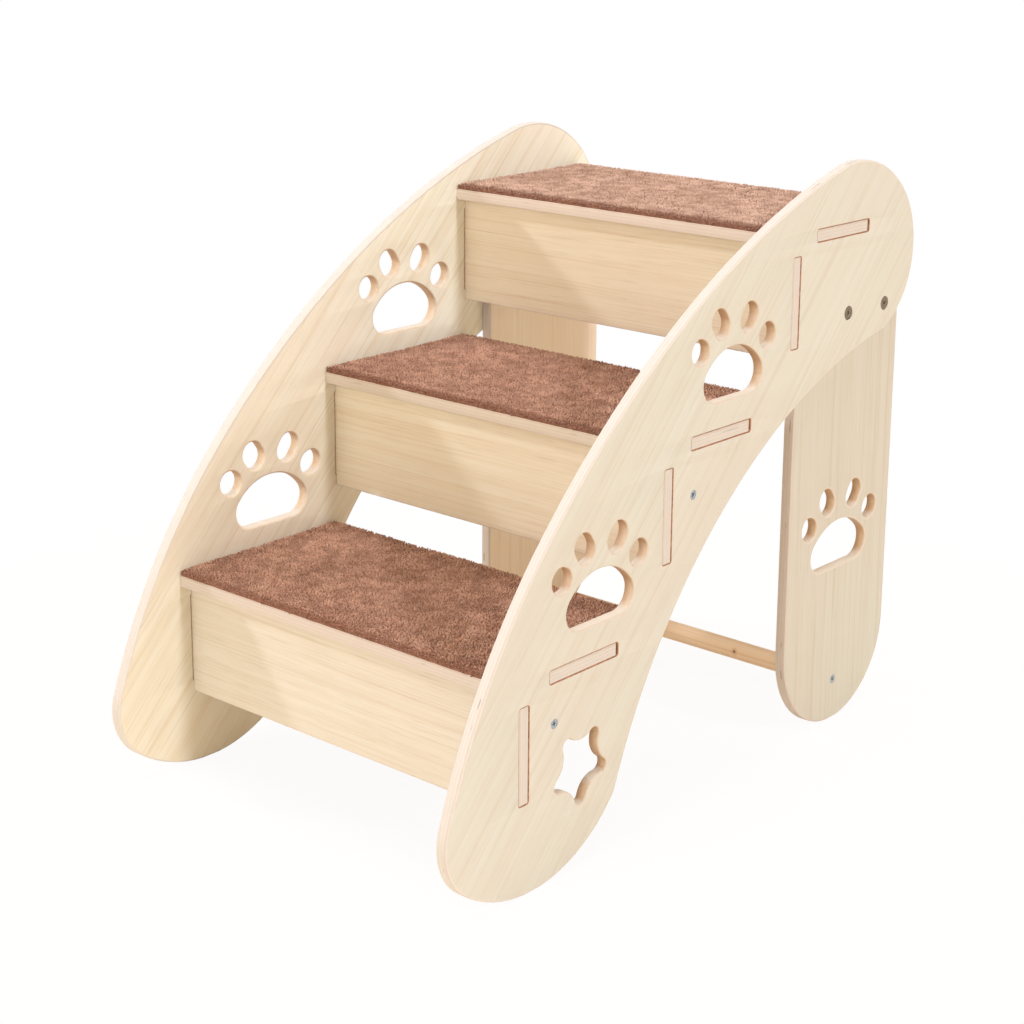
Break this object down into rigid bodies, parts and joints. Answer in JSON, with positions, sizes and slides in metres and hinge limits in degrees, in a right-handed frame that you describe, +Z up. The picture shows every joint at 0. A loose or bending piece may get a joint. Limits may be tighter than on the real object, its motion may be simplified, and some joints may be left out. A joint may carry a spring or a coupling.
{
  "type": "pet stairs",
  "caption": "Free-standing pet stairs: carpeted treads tenoned between arched plywood side panels with paw and star cut-outs, on straight bolted rear legs.",
  "frame": {"origin": "on the floor, under the middle of the side panels' outline", "axes": "+X across the stairs to their right side seen from the front, +Y from the front to the rear, +Z up"},
  "size_m": [0.45, 0.7208, 0.6087],
  "materials": {
    "plywood": "satin clear coat on pale pine-faced plywood",
    "dowel_wood": "sanded pine rod",
    "carpet": "short cut pile, brown",
    "steel": "zinc-plated, dull",
    "bronze": "antique bronze plating"
  },
  "bodies": {
    "root": {"left_panel": "plywood", "right_panel": "plywood", "bottom_tread": "plywood", "middle_tread": "plywood", "top_tread": "plywood", "bottom_riser": "plywood", "middle_riser": "plywood", "top_riser": "plywood", "bottom_carpet": "carpet", "middle_carpet": "carpet", "top_carpet": "carpet", "left_leg": "plywood", "right_leg": "plywood", "leg_dowel": "dowel_wood", "lower_tie_dowel": "dowel_wood", "upper_tie_dowel": "dowel_wood", "panel_screws": "steel", "leg_screws": "steel", "leg_bolts": "bronze", "leg_nuts": "bronze"}
  },
  "joints": []
}
